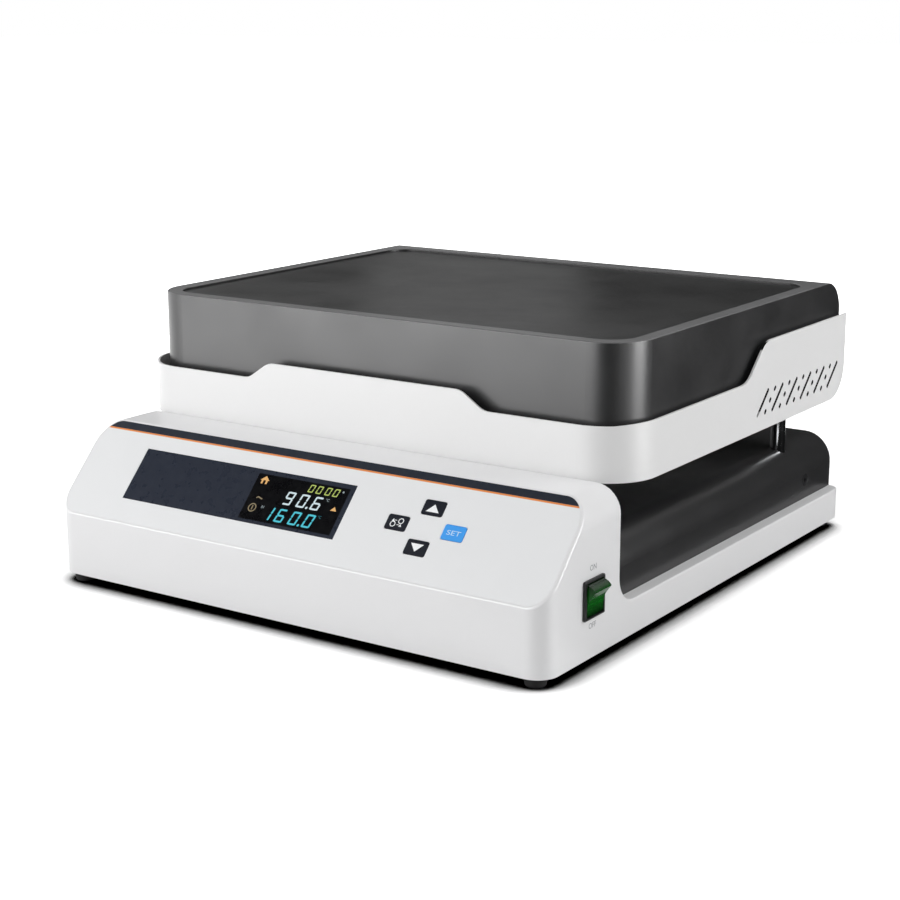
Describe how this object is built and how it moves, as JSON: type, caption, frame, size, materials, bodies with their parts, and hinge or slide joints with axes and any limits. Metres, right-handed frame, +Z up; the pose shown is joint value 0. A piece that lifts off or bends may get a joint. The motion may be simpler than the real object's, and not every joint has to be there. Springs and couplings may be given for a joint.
{
  "type": "graphite hot plate",
  "caption": "Laboratory hot plate: a heated graphite block with a shallow recess stands on pillars over a base with a sloping display panel.",
  "frame": {"origin": "middle of the footprint on the bench, at the underside of the feet", "axes": "+X to the right seen from the front, +Y to the rear, +Z up; the sloping panel faces -Y"},
  "size_m": [0.4169, 0.448, 0.1961],
  "materials": {
    "graphite": "satin, fine machining marks",
    "white_enamel": "gloss powder coat",
    "black_enamel": "gloss paint",
    "housing_white": "gloss",
    "chrome": "polished",
    "steel": "brushed",
    "zinc": "zinc plated",
    "element_sheath": "dark oxide",
    "fibre": "matte ceramic fibre",
    "film": "printed film",
    "window": "gloss, dark tint",
    "display": "gloss, lit digits",
    "circuit": "solder mask",
    "key_dark": "satin",
    "key_blue": "satin",
    "black_plastic": "satin",
    "green_lens": "translucent",
    "foot_rubber": "matte",
    "aluminium": "extruded",
    "transformer": "laminated core, taped coil",
    "terminal": "natural"
  },
  "bodies": {
    "base": {"base_nuts": "zinc", "base_plate": "zinc", "base_screws": "zinc", "board_screws": "zinc", "board_spacers": "zinc", "clamp_plate": "steel", "console_housing": "housing_white", "control_board": "circuit", "cover_screws": "black_enamel", "display_module": "display", "display_window": "window", "earth_stud": "zinc", "foot_front_left": "foot_rubber", "foot_front_right": "foot_rubber", "foot_rear_left": "foot_rubber", "foot_rear_right": "foot_rubber", "foot_screws": "zinc", "fuse_holder": "black_plastic", "graphite_plate": "graphite", "head_nuts": "zinc", "head_pan": "steel", "heat_shield": "white_enamel", "heat_sink": "aluminium", "heater_left": "element_sheath", "heater_right": "element_sheath", "inlet_screws": "zinc", "insulation_board": "fibre", "key_board": "circuit", "overheat_cutout": "zinc", "panel_overlay": "film", "panel_screws": "zinc", "panel_studs": "zinc", "pillar_front_left": "chrome", "pillar_front_right": "chrome", "pillar_rear_left": "chrome", "pillar_rear_right": "chrome", "plate_bolts": "zinc", "power_inlet": "black_plastic", "rear_cover": "black_enamel", "rear_panel": "black_enamel", "shield_screws": "zinc", "solid_state_relay": "black_plastic", "switch_body": "black_plastic", "tact_switches": "black_plastic", "temperature_probe": "steel", "terminal_block": "terminal", "transformer": "transformer"},
    "key_up": {"key_up": "key_dark"},
    "key_down": {"key_down": "key_dark"},
    "key_mode": {"key_mode": "key_dark"},
    "key_set": {"key_set": "key_blue"},
    "power_rocker": {"power_rocker": "green_lens"}
  },
  "joints": [
    {"name": "power_rocker_tilt", "type": "hinge", "parent": "base", "child": "power_rocker", "pos_m": [0.20193, -0.1682, 0.0461], "axis": [0, -1, 0], "range_deg": [0, 36.8]},
    {"name": "key_up_press", "type": "slide", "parent": "base", "child": "key_up", "axis": [0, 0.7269, -0.6867], "range_m": [0, 0.0005], "stiffness_N_per_m": 400, "springref_m": -0.001},
    {"name": "key_down_press", "type": "slide", "parent": "base", "child": "key_down", "axis": [0, 0.7269, -0.6867], "range_m": [0, 0.0005], "stiffness_N_per_m": 400, "springref_m": -0.001},
    {"name": "key_mode_press", "type": "slide", "parent": "base", "child": "key_mode", "axis": [0, 0.7269, -0.6867], "range_m": [0, 0.0005], "stiffness_N_per_m": 400, "springref_m": -0.001},
    {"name": "key_set_press", "type": "slide", "parent": "base", "child": "key_set", "axis": [0, 0.7269, -0.6867], "range_m": [0, 0.0005], "stiffness_N_per_m": 400, "springref_m": -0.001}
  ]
}
